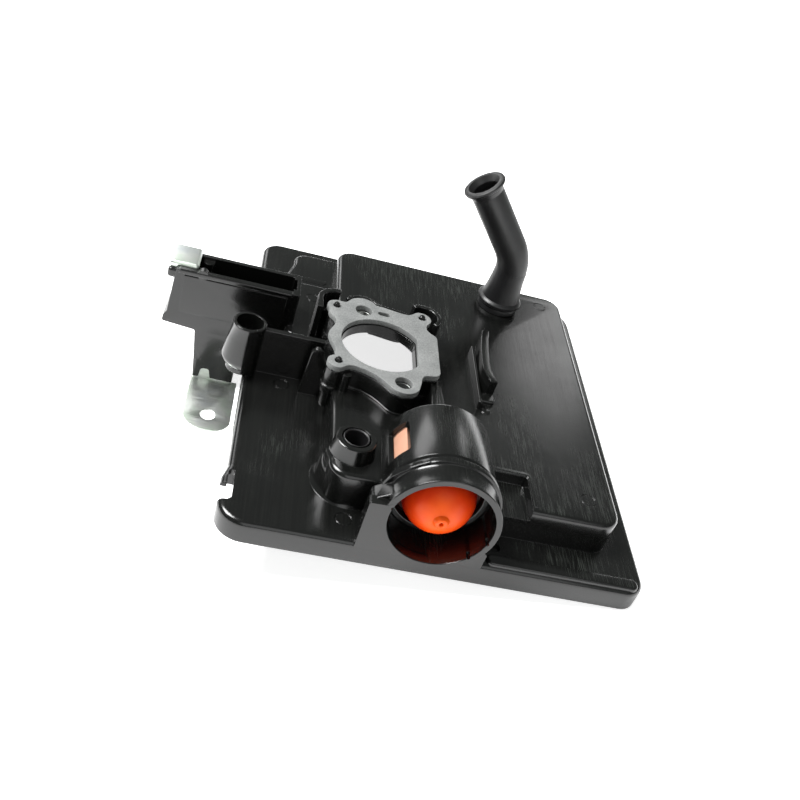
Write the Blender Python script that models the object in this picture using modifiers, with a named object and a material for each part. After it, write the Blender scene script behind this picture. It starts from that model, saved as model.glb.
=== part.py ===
"""Air cleaner base of a small engine, lying with its filter side down.

One moulded base carries the primer barrel, the carburettor flange, a guide post, a bushing boss and
a control arm. Loose pieces are fitted to it: gasket, primer bulb, ring, breather tube, sleeves, zinc
brackets and their screws. Sizes are in millimetres, in a design frame whose origin is the front left
corner of the rim's underside: +X to the right, +Y to the back, +Z up. place() turns them into metres
about the middle of the underside of the whole object.
"""
import math
import bmesh
import bpy
from mathutils import Matrix, Vector

MM = 0.001
GAP = 0.3                      # running gap between neighbouring solids

# whole object
WIDTH, DEPTH = 165.0, 196.5    # outer rim
ARM_LEFT = -36.0               # left end of the zinc cap
BELOW = 20.0                   # how far the lower bracket hangs under the rim
CENTRE = Vector(((WIDTH + ARM_LEFT) / 2, DEPTH / 2, -BELOW))

# base moulding
RIM_TOP, WALL = 9.5, 2.6
CHAMBER = dict(left=37.0, right=152.0, front=17.5, back=178.5, top=24.8)
TIER_LOW, TIER_HIGH = 15.0, 20.5
SHELF = dict(left=95.0, right=116.4, front=19.4, back=38.0, floor=15.0)

# carburettor flange
THROAT = Vector((55.0, 88.0))
THROAT_R, THROAT_FLAT = 17.0, 14.6
SEAT_Z, GASKET_T = 33.6, 2.4
BOLTS = (Vector((46.9, 110.6)), Vector((63.3, 64.9)))
EARS = (Vector((35.0, 109.8)), Vector((73.0, 114.6)), Vector((36.6, 70.6)))

# primer
BARREL_X, BARREL_Z = 78.1, 25.4
BARREL_R, BORE_R, BARREL_LEN = 21.6, 19.2, 44.0
BARREL_FLOOR, WEB_FOOT = 41.4, 9.5
DOME_R, DOME_FRONT, DOME_BACK = 14.0, 2.0, 23.0
SKIRT_FRONT, SKIRT_BACK, RUBBER = 19.0, 40.6, 1.8

# other features
POST = dict(x=0.6, y=89.0, top=32.5, r=6.9, bore=5.6)
BOSS = dict(x=45.5, y=29.6, top=33.6, r=7.9, bore=5.0)
ARM = dict(left=-33.0, right=14.0, front=110.0, back=126.0, top=36.4, floor=11.0)
LEG = dict(left=-21.0, right=-0.5, foot=-15.8)
CLIP_SCREW, BRACKET_SCREW = (-29.0, 22.0), (-10.7, -9.0)      # x and z of their axes
TUBE = dict(x=116.5, y=160.0, r=7.6, bore=5.9, bend_z=51.5, top_x=89.5, top_z=84.0)

parts = None
cutters = None


def place(x, y, z):
    return (Vector((x, y, z)) - CENTRE) * MM


# ---------------------------------------------------------------- building blocks

def add_object(name, mesh, collection):
    obj = bpy.data.objects.new(name, mesh)
    collection.objects.link(obj)
    return obj


def from_bmesh(name, bm):
    bmesh.ops.recalc_face_normals(bm, faces=bm.faces)
    mesh = bpy.data.meshes.new(name)
    bm.to_mesh(mesh)
    bm.free()
    return mesh


def evaluated_mesh(obj, weld=0.00002):
    """The object's evaluated mesh in world space; the object itself is removed."""
    graph = bpy.context.evaluated_depsgraph_get()
    mesh = bpy.data.meshes.new_from_object(obj.evaluated_get(graph))
    mesh.transform(obj.matrix_world)
    bpy.data.objects.remove(obj)
    bm = bmesh.new()
    bm.from_mesh(mesh)
    bmesh.ops.remove_doubles(bm, verts=bm.verts, dist=weld)
    return from_bmesh("solid", bm)


def arc(centre, radius, start, end, steps):
    """Points on a circle from the start angle to the end angle, in degrees."""
    points = []
    for i in range(steps + 1):
        a = math.radians(start + (end - start) * i / steps)
        points.append((centre[0] + radius * math.cos(a), centre[1] + radius * math.sin(a)))
    return points


def rounded(corners, steps=5):
    """A closed outline through (x, y, radius) corners, each replaced by an arc of its radius."""
    points = []
    count = len(corners)
    for i, (x, y, radius) in enumerate(corners):
        here = Vector((x, y))
        if radius <= 0:
            points.append((x, y))
            continue
        before = (Vector(corners[i - 1][:2]) - here).normalized()
        after = (Vector(corners[(i + 1) % count][:2]) - here).normalized()
        half = before.angle(after) / 2
        reach = radius / math.tan(half)
        middle = here + (before + after).normalized() * radius / math.sin(half)
        first, last = here + before * reach - middle, here + after * reach - middle
        start = math.atan2(first.y, first.x)
        turn = (math.atan2(last.y, last.x) - start + math.pi) % (2 * math.pi) - math.pi
        for k in range(steps + 1):
            a = start + turn * k / steps
            points.append((middle.x + radius * math.cos(a), middle.y + radius * math.sin(a)))
    return points


def box_outline(left, front, right, back, radius):
    return rounded([(left, front, radius), (right, front, radius), (right, back, radius), (left, back, radius)])


def circle(centre, radius, steps=32):
    return arc(centre, radius, 0, 360 * (steps - 1) / steps, steps - 1)


def slab(name, outlines, low, high, edge=0.0, collection=None):
    """A plate between two heights. Outlines after the first are holes; edge rounds its rims."""
    curve = bpy.data.curves.new(name, "CURVE")
    curve.dimensions = "2D"
    curve.fill_mode = "BOTH"
    curve.extrude = ((high - low) / 2 - edge) * MM
    curve.bevel_depth = edge * MM
    curve.bevel_resolution = 1
    curve.offset = -edge * MM
    for outline in outlines:
        spline = curve.splines.new("POLY")
        spline.points.add(len(outline) - 1)
        for point, (x, y) in zip(spline.points, outline):
            where = place(x, y, 0)
            point.co = (where.x, where.y, 0, 1)
        spline.use_cyclic_u = True
    obj = add_object(name, curve, cutters)
    obj.location.z = place(0, 0, (low + high) / 2).z
    bpy.context.view_layer.update()
    return add_object(name, evaluated_mesh(obj), collection or cutters)


def turned(name, profile, steps=40, collection=None):
    """A profile of (radius, height) swept about +Z; its outer side runs from top to bottom."""
    mesh = bpy.data.meshes.new(name)
    closed = profile[0][0] > 0
    edges = [(i, i + 1) for i in range(len(profile) - 1)]
    if closed:
        edges.append((len(profile) - 1, 0))
    mesh.from_pydata([(r * MM, 0, h * MM) for r, h in profile], edges, [])
    obj = add_object(name, mesh, cutters)
    screw = obj.modifiers.new("turn", "SCREW")
    screw.steps = screw.render_steps = steps
    screw.use_merge_vertices = True
    screw.merge_threshold = 0.00001
    bpy.context.view_layer.update()
    return add_object(name, evaluated_mesh(obj), collection or cutters)


def moved(obj, x, y, z, turn=None):
    """Turns a piece about the origin, then puts its origin at a point of the design frame."""
    matrix = Matrix.Translation(place(x, y, z))
    if turn:
        matrix = matrix @ Matrix.Rotation(math.radians(turn[0]), 4, turn[1])
    obj.data.transform(matrix)
    return obj


def rod(name, radius, x, y, low, high, steps=32, collection=None):
    piece = turned(name, [(0, high - low), (radius, high - low), (radius, 0), (0, 0)], steps, collection)
    return moved(piece, x, y, low)


def boolean(obj, other, operation):
    modifier = obj.modifiers.new(other.name, "BOOLEAN")
    modifier.operation = operation
    modifier.solver = "EXACT"
    modifier.object = other
    other.hide_render = True
    other.display_type = "WIRE"


def join(obj, *others):
    for other in others:
        boolean(obj, other, "UNION")


def cut(obj, *others):
    for other in others:
        boolean(obj, other, "DIFFERENCE")


def material(name, colour, roughness, metallic=0.0):
    mat = bpy.data.materials.new(name)
    mat.use_nodes = True
    shader = mat.node_tree.nodes["Principled BSDF"]
    shader.inputs["Base Color"].default_value = (*colour, 1)
    shader.inputs["Roughness"].default_value = roughness
    shader.inputs["Metallic"].default_value = metallic
    return mat


def finish(obj, mat):
    obj.data.materials.clear()
    obj.data.materials.append(mat)
    for face in obj.data.polygons:
        face.use_smooth = True
    obj.data.set_sharp_from_angle(angle=math.radians(35))


def new_part(name, obj):
    """Moves a finished solid into the parts collection under its node name."""
    cutters.objects.unlink(obj)
    parts.objects.link(obj)
    obj.name = name
    obj.data.name = name
    return obj


# ---------------------------------------------------------------- the moulding

def throat_outline(grow=0.0):
    """A circle with a flat on its right side."""
    radius, flat = THROAT_R + grow, THROAT_FLAT + grow
    half = math.degrees(math.acos(flat / radius))
    return arc(THROAT, radius, half, 360 - half, 36)


def gasket_outline(grow=0.0):
    """Straight sides, two bolt lobes and three small ears around the throat."""
    g = grow
    corners = [
        (30.6 - g, 110.0, 3.5), (34.5, 115.6 + g, 3.0), (41.5, 113.4 + g, 2.0), (45.0, 119.4 + g, 4.0),
        (52.2, 119.4 + g, 4.0), (54.5, 115.9 + g, 2.0), (67.5, 115.7 + g, 1.5), (70.5, 119.6 + g, 3.0),
        (77.4 + g, 118.6 + g, 3.0), (76.6 + g, 106.6, 2.0), (79.5 + g, 102.6, 2.0), (79.5 + g, 73.0 - g, 1.5),
        (72.0 + g, 72.4 - g, 1.5), (70.4 + g, 60.5 - g, 4.0), (62.5, 56.0 - g, 4.0), (47.6, 67.2 - g, 4.0),
        (39.6, 68.3 - g, 1.5), (36.8, 64.6 - g, 2.5), (31.6 - g, 67.6 - g, 2.5), (32.4 - g, 72.6, 2.0),
        (35.4 - g, 75.4, 2.0), (31.2 - g, 88.6, 3.0), (35.6 - g, 102.0, 2.5)]
    return rounded(corners, 3)


def barrel_cylinder(name, radius, front, back, steps=48):
    """A solid cylinder on the barrel's axis, which points to the front."""
    length = back - front
    piece = turned(name, [(0, length), (radius, length), (radius, 0), (0, 0)], steps)
    return moved(piece, BARREL_X, back, BARREL_Z, (90, "X"))


def make_base_tray():
    """Rim, low plate, two tiers and the raised filter chamber, open underneath."""
    c = CHAMBER
    rim = slab("rim", [rounded([
        (0.5, 0, 11), (WIDTH, 0, 8), (WIDTH, DEPTH, 14), (3.2, DEPTH, 9), (2.8, 29, 0), (0.8, 27.6, 0),
        (0.8, 19.6, 0), (2.0, 19.6, 0), (2.4, 25.6, 0.6), (5.5, 25.6, 0.8), (5.5, 12.6, 0.8), (0.5, 12.6, 0.8)])],
        0, RIM_TOP, 0.9)
    chamber = slab("chamber", [box_outline(c["left"], c["front"], c["right"], c["back"], 8)], 3, c["top"], 2.2)
    low_tier = slab("low_tier", [box_outline(14.0, 98.0, 42.0, 184.5, 7)], 3, TIER_LOW, 1.2)
    high_tier = slab("high_tier", [box_outline(16.5, 104.0, 42.0, 149.0, 4)], 3, TIER_HIGH, 1.2)
    join(rim, chamber, low_tier, high_tier)

    inner = WALL + 1.2
    cut(rim,
        slab("rim_hollow", [box_outline(inner + 3, inner, WIDTH - inner, DEPTH - inner, 6)], -1, RIM_TOP - WALL),
        slab("chamber_hollow", [box_outline(c["left"] + WALL, c["front"] + WALL, c["right"] - WALL,
                                            c["back"] - WALL, 6)], 1, c["top"] - WALL),
        slab("tier_hollow", [box_outline(14 + WALL, 98 + WALL, 41, 184.5 - WALL, 5)], 1, TIER_LOW - WALL),
        slab("high_hollow", [box_outline(16.5 + WALL, 104 + WALL, 41, 149 - WALL, 3)], 2, TIER_HIGH - WALL),
        barrel_cylinder("barrel_clearance", BARREL_R + GAP, -1, BARREL_LEN + 1.0),
        slab("platform_clearance", [gasket_outline(GAP)], 20, 40),
        rod("boss_clearance", 15.4 + GAP, 47.0, 32.0, 7, 40),
        rod("tube_seat", 7.2, TUBE["x"], TUBE["y"], 15, 30),
        slab("web_clearance", [box_outline(BARREL_X - 28, -1, BARREL_X, 4, 0)], WEB_FOOT - GAP, 30))
    shelf = SHELF
    tub = slab("shelf_tub", [box_outline(shelf["left"] - WALL, shelf["front"] - 1, shelf["right"] + WALL,
                                         shelf["back"] + WALL, 2)], shelf["floor"] - WALL, CHAMBER["top"] - 0.6)
    join(rim, tub)
    cut(rim, slab("shelf_pocket", [box_outline(shelf["left"], shelf["front"], shelf["right"], shelf["back"], 2)],
                  shelf["floor"], 30),
        barrel_cylinder("barrel_clearance_shelf", BARREL_R + GAP, -1, BARREL_LEN + 1.0))
    make_tray_ribs(rim)
    return rim


def make_throat_platform():
    """The carburettor flange: a lobed pedestal around the throat, with locating pegs."""
    platform = slab("platform", [gasket_outline(), throat_outline()], CHAMBER["top"] - WALL + 0.1, SEAT_Z, 0.4)
    for i, ear in enumerate(EARS):
        join(platform, rod(f"peg{i}", 1.3, ear.x, ear.y, SEAT_Z - 1, SEAT_Z + GASKET_T + 0.6, 16))
    cut(platform, *[rod(f"sleeve_hole{i}", 4.3, b.x, b.y, 20, 40) for i, b in enumerate(BOLTS)])
    return platform


def make_tray_ribs(tray):
    """Air guides beside the flange, shields behind it, a fin and a pillar on the low plate."""
    for name, centre, start, end in (("left_shield", EARS[0], 60, 185), ("right_shield", EARS[1], -30, 125)):
        middle = centre + Vector((0.4, 1.2))
        shield = arc(middle, 9.4, start, end, 12) + arc(middle, 7.4, end, start, 12)
        join(tray, slab(name, [shield], CHAMBER["top"] - 1, SEAT_Z + 1.8))
    guide = arc((150.0, 99.0), 48.4, 157, 203, 12) + arc((150.0, 99.0), 45.4, 203, 157, 12)
    join(tray, slab("curved_guide", [guide], CHAMBER["top"] - 1, 35.5, 0.6),
         slab("thin_guide", [box_outline(96.6, 70, 98.2, 108, 0.5)], CHAMBER["top"] - 1, 31.0),
         slab("duct_rib", [rounded([(75.4, 46.0, 0), (82.2, 46.0, 0), (80.6, 71.2, 0), (77.0, 71.2, 0)])],
              CHAMBER["top"] - 1, 32.0, 0.5),
         slab("post_rib", [box_outline(10.0, 88.0, 30.0, 90.6, 0)], RIM_TOP - 1, 30.6, 0.5),
         slab("fin", [box_outline(25.0, 66.0, 28.6, 84.0, 1.4)], RIM_TOP - 1, 33.0, 0.5),
         rod("pillar", 3.4, 32.9, 71.0, RIM_TOP - 1, 21.9, 20))


def on_barrel_axis(name, profile, steps=48):
    """A turned piece on the barrel's axis. Profile heights are distances behind the mouth."""
    piece = turned(name, [(radius, -depth) for radius, depth in profile], steps)
    return moved(piece, BARREL_X, 0, BARREL_Z, (90, "X"))


def make_primer_barrel():
    """Horizontal cup for the primer bulb, with a groove, an air hole, a side window and a web."""
    barrel = on_barrel_axis("barrel", [
        (BARREL_R - 0.5, 0), (BARREL_R, 0.5), (BARREL_R, 9.4), (BARREL_R - 0.9, 9.4), (BARREL_R - 0.9, 11.0),
        (BARREL_R, 11.0), (BARREL_R, BARREL_LEN - 1.6), (BARREL_R - 1.6, BARREL_LEN), (2.0, BARREL_LEN),
        (2.0, BARREL_FLOOR), (BORE_R, BARREL_FLOOR), (BORE_R, 0)])
    web = slab("web", [box_outline(BARREL_X - 27.4, 0, BARREL_X - 16, 3.6, 0)], WEB_FOOT, 32.0)
    cut(web, barrel_cylinder("web_bore", BARREL_R - 1.2, -5, 10))
    join(barrel, web)
    cut(barrel, slab("window", [box_outline(BARREL_X - 30, 23.0, BARREL_X - 13.5, 39.0, 1)], 30.0, 43.0))
    return barrel


def make_guide_post():
    """Hollow post at the left edge, flared at its foot."""
    p = POST
    low = RIM_TOP + GAP
    post = turned("post", [
        (p["bore"], p["top"]), (p["r"] - 0.4, p["top"]), (p["r"], p["top"] - 0.4), (p["r"] + 0.3, low + 6),
        (p["r"] + 1.8, low), (p["bore"], low)], 40)
    return moved(post, p["x"], p["y"], 0)


def make_bushing_boss():
    """Stepped round boss: a wide lobe, a shoulder and a ring that takes a bushing."""
    b = BOSS
    low = RIM_TOP + GAP
    boss = turned("boss", [
        (b["bore"], b["top"]), (b["r"] - 0.5, b["top"]), (b["r"], b["top"] - 0.5), (b["r"], b["top"] - 5),
        (b["r"] + 2.2, b["top"] - 7), (b["r"] + 2.2, 22.5), (14.4, 21.0), (15.4, 19.0), (15.4, low),
        (b["bore"], low)], 40)
    moved(boss, b["x"] + 1.5, b["y"] + 2.4, 0)
    cut(boss, barrel_cylinder("boss_barrel_clearance", BARREL_R + GAP, -1, BARREL_LEN + 1))
    return boss


def make_control_arm():
    """Open-topped channel over the left edge, with a leg that reaches below the rim."""
    a, leg = ARM, LEG
    arm = slab("arm", [rounded([
        (a["left"], a["front"], 2.5), (a["right"] - GAP, a["front"], 0), (a["right"] - GAP, a["back"], 0),
        (a["left"], a["back"], 2.5)])], a["floor"], a["top"], 0.5)
    join(arm, slab("leg", [box_outline(leg["left"], a["front"], leg["right"], a["back"], 0)],
                   leg["foot"], a["floor"] + 1))
    cut(arm, slab("channel", [box_outline(a["left"] + 2.2, a["front"] + 2.2, 30, a["back"] - 2.2, 0)],
                  a["floor"] + 2.4, 60),
        slab("leg_hollow", [box_outline(leg["left"] + 2.2, a["front"] + 2.2, leg["right"] - 2.2, 140, 0)],
             -40, a["floor"] - 1))
    return arm


# ---------------------------------------------------------------- loose pieces

def make_gasket():
    low = SEAT_Z + GAP / 3
    holes = [circle(b, 3.5, 20) for b in BOLTS] + [circle(e, 1.6, 12) for e in EARS]
    oval = arc((57.2, 111.0), 1.1, -90, 90, 6) + arc((54.8, 111.0), 1.1, 90, 270, 6)
    return slab("gasket", [gasket_outline(0.0), throat_outline(0.4), oval] + holes, low, low + GASKET_T)


def make_bulb_dome():
    """The part of the bulb that a thumb pushes in: a thin dome with a nub and a vent."""
    outer = [(DOME_R * math.sin(math.radians(a)), DOME_FRONT + DOME_R * (1 - math.cos(math.radians(a))))
             for a in range(15, 91, 15)]
    inner_r = DOME_R - RUBBER
    inner = [(inner_r * math.sin(math.radians(a)), DOME_FRONT + RUBBER + inner_r * (1 - math.cos(math.radians(a))))
             for a in range(90, 14, -15)]
    vent = 0.8
    profile = [(vent, DOME_FRONT - 1.2), (2.4, DOME_FRONT - 1.2), (2.9, DOME_FRONT - 0.4)] + outer
    profile += [(DOME_R, DOME_BACK), (inner_r, DOME_BACK)] + inner + [(vent, DOME_FRONT + RUBBER)]
    return on_barrel_axis("dome", profile)


def make_bulb_skirt():
    """The fixed part of the bulb: a flange around the dome and a cup that fills the barrel."""
    outer = BORE_R - GAP
    return on_barrel_axis("skirt", [
        (DOME_R + GAP, SKIRT_FRONT), (outer, SKIRT_FRONT), (outer, SKIRT_BACK), (outer - RUBBER, SKIRT_BACK),
        (outer - RUBBER, SKIRT_FRONT + RUBBER), (DOME_R + GAP, SKIRT_FRONT + RUBBER)])


def make_bulb_ring():
    outer = BORE_R - GAP
    return on_barrel_axis("ring", [
        (outer - 2.2, SKIRT_FRONT - 3.4), (outer, SKIRT_FRONT - 3.4), (outer, SKIRT_FRONT - GAP),
        (outer - 2.8, SKIRT_FRONT - GAP)])


def make_boss_bushing():
    b = BOSS
    bushing = turned("bushing", [
        (3.4, b["top"] - 0.8), (b["bore"] - GAP, b["top"] - 0.8), (b["bore"] - GAP, b["top"] - 14),
        (3.4, b["top"] - 14)], 28)
    return moved(bushing, b["x"] + 1.5, b["y"] + 2.4, 0)


def make_stud_sleeve(bolt):
    sleeve = turned("sleeve", [(3.4, SEAT_Z - 0.2), (4.0, SEAT_Z - 0.2), (4.0, 22.6), (3.4, 22.6)], 28)
    return moved(sleeve, bolt.x, bolt.y, 0)


def tube_path(low, past_top):
    """Points (x, z) of the breather's centre line: upright, one bend, then leaning to the left."""
    t = TUBE
    lean = math.atan2(t["x"] - t["top_x"], t["top_z"] - t["bend_z"])
    radius = 22.0
    reach = radius * math.tan(lean / 2)
    points = [(t["x"], low)]
    for i in range(7):
        a = lean * i / 6
        points.append((t["x"] - radius * (1 - math.cos(a)), t["bend_z"] - reach + radius * math.sin(a)))
    points.append((t["top_x"] - past_top * math.sin(lean), t["top_z"] + past_top * math.cos(lean)))
    return points, math.degrees(lean)


def sweep(name, radius, points):
    curve = bpy.data.curves.new(name, "CURVE")
    curve.dimensions = "3D"
    curve.bevel_depth = radius * MM
    curve.bevel_resolution = 6
    curve.use_fill_caps = True
    spline = curve.splines.new("POLY")
    spline.points.add(len(points) - 1)
    for point, (x, z) in zip(spline.points, points):
        point.co = (*place(x, TUBE["y"], z), 1)
    obj = add_object(name, curve, cutters)
    bpy.context.view_layer.update()
    return add_object(name, evaluated_mesh(obj), cutters)


def make_breather_tube():
    """Rubber elbow: a flared foot, an upright stretch, a bend and a flanged mouth."""
    t = TUBE
    foot = 28.0
    path, lean = tube_path(foot + 1, -1)
    tube = sweep("tube", t["r"], path)
    flare = turned("flare", [(0, 16), (t["r"], 16), (t["r"] + 0.6, 8), (t["r"] + 1.5, 2.6), (t["r"] + 3.1, 2.4),
                             (t["r"] + 3.1, 0), (0, 0)], 40)
    moved(flare, t["x"], t["y"], foot)
    lip = turned("lip", [(0, 0), (t["r"] + 1.6, 0), (t["r"] + 2.2, -0.6), (t["r"] + 2.2, -1.8),
                         (t["r"], -4.4), (0, -4.4)], 40)
    moved(lip, t["top_x"], t["y"], t["top_z"], (-lean, "Y"))
    join(tube, flare, lip)
    bore = sweep("bore", t["bore"], tube_path(foot - 2, 3)[0])
    cut(tube, bore)
    return tube


def make_breather_grommet():
    t = TUBE
    top = CHAMBER["top"]
    grommet = turned("grommet", [
        (t["bore"], 27.6), (9.4, 27.6), (9.8, 27.0), (9.8, top + GAP), (6.9, top + GAP), (6.9, 20.4), (t["bore"], 20.4)], 36)
    return moved(grommet, t["x"], t["y"], 0)


def make_upper_clip():
    """Zinc-plated strap over the left end of the arm, with a leg down its back wall."""
    a = ARM
    top = a["top"] + GAP
    clip = slab("clip", [rounded([(ARM_LEFT, a["front"] + 0.6, 1.5), (-24.0, a["front"] - 0.4, 1.0),
                                  (-24.0, a["back"] + 1.5, 0), (ARM_LEFT, a["back"] + 1.5, 1.5)])],
                top, top + 1.2)
    join(clip, slab("leg", [box_outline(-34.0, a["back"] + GAP, -24.0, a["back"] + 1.5, 0)], 16, top + 0.6),
         slab("lip", [box_outline(ARM_LEFT, a["front"] + 3, ARM_LEFT + 1.2, a["back"] - 3, 0)], 28, top + 0.6))
    cut(clip, hole_along_y("clip_hole", 2.3, CLIP_SCREW[0], CLIP_SCREW[1], a["back"] - 1, a["back"] + 4))
    return clip


def hole_along_y(name, radius, x, z, front, back):
    length = back - front
    piece = turned(name, [(0, length), (radius, length), (radius, 0), (0, 0)], 20)
    return moved(piece, x, back, z, (90, "X"))


def make_lower_bracket():
    """Zinc-plated angle: a flange inside the leg and a foot with a round end towards the front."""
    flange_y, sheet = ARM["front"] + 2.7, 1.0
    bracket = slab("foot", [rounded([(-19.0, 78.0, 9), (2.2, 78.0, 9), (2.2, flange_y + sheet, 0),
                                     (-19.0, flange_y + sheet, 0)])], -BELOW, -BELOW + sheet)
    join(bracket, slab("flange", [box_outline(-18.2, flange_y, -3.2, flange_y + sheet, 0)], -BELOW + 0.4, -3.0))
    cut(bracket, rod("foot_hole", 3.2, -8.4, 88.0, -BELOW - 1, -BELOW + 2, 24),
        hole_along_y("flange_hole", 2.3, BRACKET_SCREW[0], BRACKET_SCREW[1], flange_y - 1, flange_y + 2))
    return bracket


def make_screw(where, seat):
    """Pan-head screw whose head faces the back and whose shank enters a plate's hole."""
    screw = turned("screw", [(0, 2.2), (2.4, 2.0), (3.6, 0.9), (3.8, 0), (1.9, 0), (1.9, -1.0), (0, -1.0)], 24)
    return moved(screw, where[0], seat + GAP, where[1], (-90, "X"))


# ---------------------------------------------------------------- the assembly

def main():
    global parts, cutters
    for obj in list(bpy.data.objects):
        bpy.data.objects.remove(obj)
    parts = bpy.data.collections.new("air_filter_housing")
    cutters = bpy.data.collections.new("cutters")
    for collection in (parts, cutters):
        bpy.context.scene.collection.children.link(collection)

    black = material("moulded_black", (0.018, 0.019, 0.019), 0.38)
    rubber = material("black_rubber", (0.014, 0.014, 0.015), 0.5)
    red = material("red_rubber", (0.75, 0.05, 0.015), 0.4)
    fibre = material("gasket_fibre", (0.42, 0.43, 0.42), 0.85)
    zinc = material("zinc_plate", (0.75, 0.77, 0.74), 0.3, 1.0)
    pieces = [
        ("base_tray", make_base_tray(), black),
        ("throat_platform", make_throat_platform(), black),
        ("primer_barrel", make_primer_barrel(), black),
        ("guide_post", make_guide_post(), black),
        ("bushing_boss", make_bushing_boss(), black),
        ("control_arm", make_control_arm(), black),
        ("carburettor_gasket", make_gasket(), fibre),
        ("bulb_dome", make_bulb_dome(), red),
        ("bulb_skirt", make_bulb_skirt(), red),
        ("bulb_ring", make_bulb_ring(), black),
        ("boss_bushing", make_boss_bushing(), rubber),
        ("stud_sleeve_rear", make_stud_sleeve(BOLTS[0]), zinc),
        ("stud_sleeve_front", make_stud_sleeve(BOLTS[1]), zinc),
        ("breather_tube", make_breather_tube(), rubber),
        ("breather_grommet", make_breather_grommet(), rubber),
        ("upper_clip", make_upper_clip(), zinc),
        ("clip_screw", make_screw(CLIP_SCREW, ARM["back"] + 1.5), zinc),
        ("lower_bracket", make_lower_bracket(), zinc),
        ("bracket_screw", make_screw(BRACKET_SCREW, ARM["front"] + 3.7), zinc),
    ]
    for name, obj, mat in pieces:
        finish(new_part(name, obj), mat)


main()
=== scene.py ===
"""The looks of the air cleaner base: one fine moulding, rubber, fibre and zinc pieces, camera and light.

Lengths are millimetres in the design frame, whose origin is the front left corner of the rim's
underside: +X right, +Y back, +Z up. at() turns them into metres in the frame of the CAD model.
"""
import math
import bmesh
import bpy
from mathutils import Matrix, Vector


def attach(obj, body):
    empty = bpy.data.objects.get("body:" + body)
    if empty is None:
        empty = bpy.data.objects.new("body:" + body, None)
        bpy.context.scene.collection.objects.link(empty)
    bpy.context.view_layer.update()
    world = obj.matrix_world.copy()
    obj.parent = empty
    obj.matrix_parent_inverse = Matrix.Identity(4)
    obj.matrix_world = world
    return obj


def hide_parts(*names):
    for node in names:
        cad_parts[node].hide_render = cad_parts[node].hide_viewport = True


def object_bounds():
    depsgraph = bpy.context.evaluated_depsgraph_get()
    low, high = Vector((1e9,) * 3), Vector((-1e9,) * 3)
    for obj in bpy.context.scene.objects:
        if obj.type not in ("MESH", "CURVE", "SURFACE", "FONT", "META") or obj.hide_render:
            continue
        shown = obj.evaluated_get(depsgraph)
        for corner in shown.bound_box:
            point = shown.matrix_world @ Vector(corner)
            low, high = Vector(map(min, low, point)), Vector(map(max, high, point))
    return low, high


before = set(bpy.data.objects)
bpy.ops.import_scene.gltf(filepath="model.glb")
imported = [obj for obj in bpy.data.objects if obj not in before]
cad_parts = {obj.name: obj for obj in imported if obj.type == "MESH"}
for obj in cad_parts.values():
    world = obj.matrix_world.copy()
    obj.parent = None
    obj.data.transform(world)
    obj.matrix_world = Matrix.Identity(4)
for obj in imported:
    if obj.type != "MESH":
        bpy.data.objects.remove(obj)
CAD_BOX = [list(corner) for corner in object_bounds()]

MM = 0.001
CLIP_LEFT, BRACKET_FOOT = -36.0, -20.0          # the design frame's place in the CAD box
ORIGIN = Vector(CAD_BOX[0]) - Vector((CLIP_LEFT, 0, BRACKET_FOOT)) * MM

# the moulding's driving sizes; the boss, the arm's floor and the seat are finer than in the CAD model
WIDTH, DEPTH, RIM_TOP, WALL = 165.0, 196.5, 9.5, 2.6
LEFT, RIGHT, FRONT, BACK, TOP = 37.0, 152.0, 17.5, 178.5, 24.8
TIER_LOW, TIER_HIGH = 15.0, 20.5
THROAT, THROAT_R, THROAT_FLAT = Vector((55.0, 88.0)), 17.0, 14.6
SEAT, GASKET_LOW, GASKET_T = 33.6, 33.7, 2.4
BOLTS = (Vector((46.9, 110.6)), Vector((63.3, 64.9)))
EARS = (Vector((35.0, 109.8)), Vector((73.0, 114.6)), Vector((36.6, 70.6)))
BARREL_X, BARREL_Z, BARREL_LEN = 78.1, 25.4, 44.0
BODY_R, MOUTH_R, BORE_R = 21.4, 21.8, 19.2
POST, POST_R, POST_BORE, POST_TOP = Vector((0.6, 89.0)), 6.9, 5.6, 32.5
BOSS, BOSS_TOP, LOBE = Vector((45.6, 31.5)), 31.6, Vector((47.5, 31.2))
BOSS_BORE, BUSHING_DEPTH = 5.6, 13.0
BARREL_FLOOR = 41.4                             # the bore ends here, behind the mouth
PLATE_UNDER = 29.4                              # underside of the carburettor seat
STUD_HOLE, GASKET_STUD_HOLE, GASKET_PEG_HOLE = 4.2, 3.6, 1.55
BULB_R, BULB_FRONT, BULB_SKIN = 14.0, 2.0, 1.8
ARM = dict(left=-33.0, right=14.0, front=110.0, back=126.0, top=36.4, floor=7.6)
TUBE_X, TUBE_Y, TUBE_R, TUBE_BORE = 116.5, 160.0, 7.6, 5.9
BEND_Z, TUBE_TOP_X, TUBE_TOP_Z, TUBE_FOOT = 51.5, 89.5, 84.0, 28.0
CLIP_SCREW, BRACKET_SCREW, SCREW_HOLE = (-29.0, 22.0), (-10.7, -9.0), 2.3      # X and Z of the screws
ROUND, FINE = 64, 96                            # sides of a full circle
WELD = 0.00001                                  # metres; nearer points are merged
SHARP_ANGLE = 32                                # degrees; steeper edges stay sharp
TABLE_HALF, TABLE_GLOW = 3.0, 0.76

work = bpy.data.collections.new("shapes")
bpy.context.scene.collection.children.link(work)


def at(x, y, z):
    return ORIGIN + Vector((x, y, z)) * MM


# ---------------------------------------------------------------- shapes

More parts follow.
